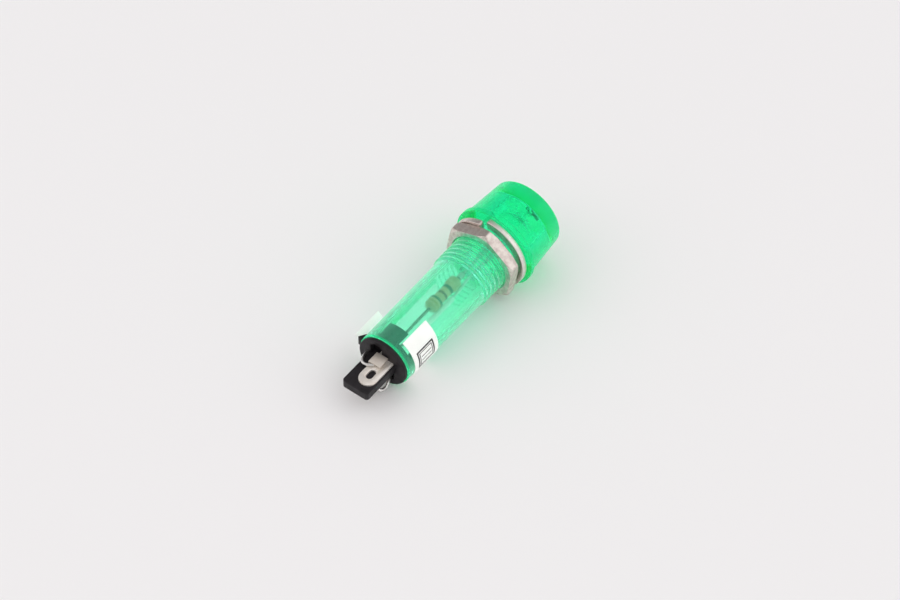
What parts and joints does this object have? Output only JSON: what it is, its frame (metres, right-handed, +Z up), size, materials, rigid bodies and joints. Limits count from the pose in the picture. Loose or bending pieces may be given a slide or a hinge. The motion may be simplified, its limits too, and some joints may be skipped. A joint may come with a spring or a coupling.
{
  "type": "panel indicator lamp",
  "caption": "Green neon panel indicator lamp with a threaded neck, spring washer, hex nut, snap-in rear plug and two solder tags.",
  "frame": {"origin": "on the lamp's axis, at the rear face of the flange, which is the front face of the panel it is fitted in", "axes": "+X along the axis from the flange to the solder tags, +Z up with the lamp lying on its side and its divider level, +Y to the side"},
  "size_m": [0.0441, 0.0144, 0.0144],
  "materials": {
    "green_clear": "clear green, polished",
    "black_plastic": "fine satin",
    "tinned_tag": "hot tinned, satin",
    "bulb_glass": "clear",
    "electrode_nickel": "dull",
    "white_ceramic": "matt",
    "cap_steel": "tin plated",
    "tan_lacquer": "lacquer",
    "band_blue": "paint",
    "band_brown": "paint",
    "band_green": "paint",
    "band_gold": "metallic paint",
    "tinned_wire": "tinned, bright",
    "white_sleeve": "soft",
    "label_paper": "uncoated",
    "nickel_plate": "bright nickel plate over steel"
  },
  "bodies": {
    "lamp": {"lens_barrel": "green_clear", "rear_plug": "black_plastic", "terminal_upper": "tinned_tag", "terminal_lower": "tinned_tag", "neon_bulb_glass": "bulb_glass", "neon_bulb_seal": "bulb_glass", "electrode_left": "electrode_nickel", "electrode_right": "electrode_nickel", "resistor_rod": "white_ceramic", "resistor_cap_front": "cap_steel", "resistor_cap_rear": "cap_steel", "resistor_coat": "tan_lacquer", "resistor_band_wide": "band_blue", "resistor_band_dark": "band_brown", "resistor_band_pale": "band_green", "resistor_band_end": "band_gold", "resistor_lead_front": "tinned_wire", "resistor_lead_rear": "tinned_wire", "bulb_lead": "tinned_wire", "crimped_joint": "cap_steel", "return_lead": "tinned_wire", "return_lead_sleeve": "white_sleeve", "label": "label_paper"},
    "washer": {"lock_washer": "nickel_plate"},
    "nut": {"hex_nut": "nickel_plate"}
  },
  "joints": [
    {"name": "nut_travel", "type": "slide", "parent": "lamp", "child": "washer", "axis": [1, 0, 0], "range_m": [0, 0.006]},
    {"name": "nut_turn", "type": "hinge", "parent": "washer", "child": "nut", "pos_m": [0, 0, 0], "axis": [1, 0, 0], "range_deg": [0, 2160.5]}
  ],
  "couplings": [
    {"joint": "nut_turn", "follows": "nut_travel", "rad_per_m": 6283.2}
  ]
}
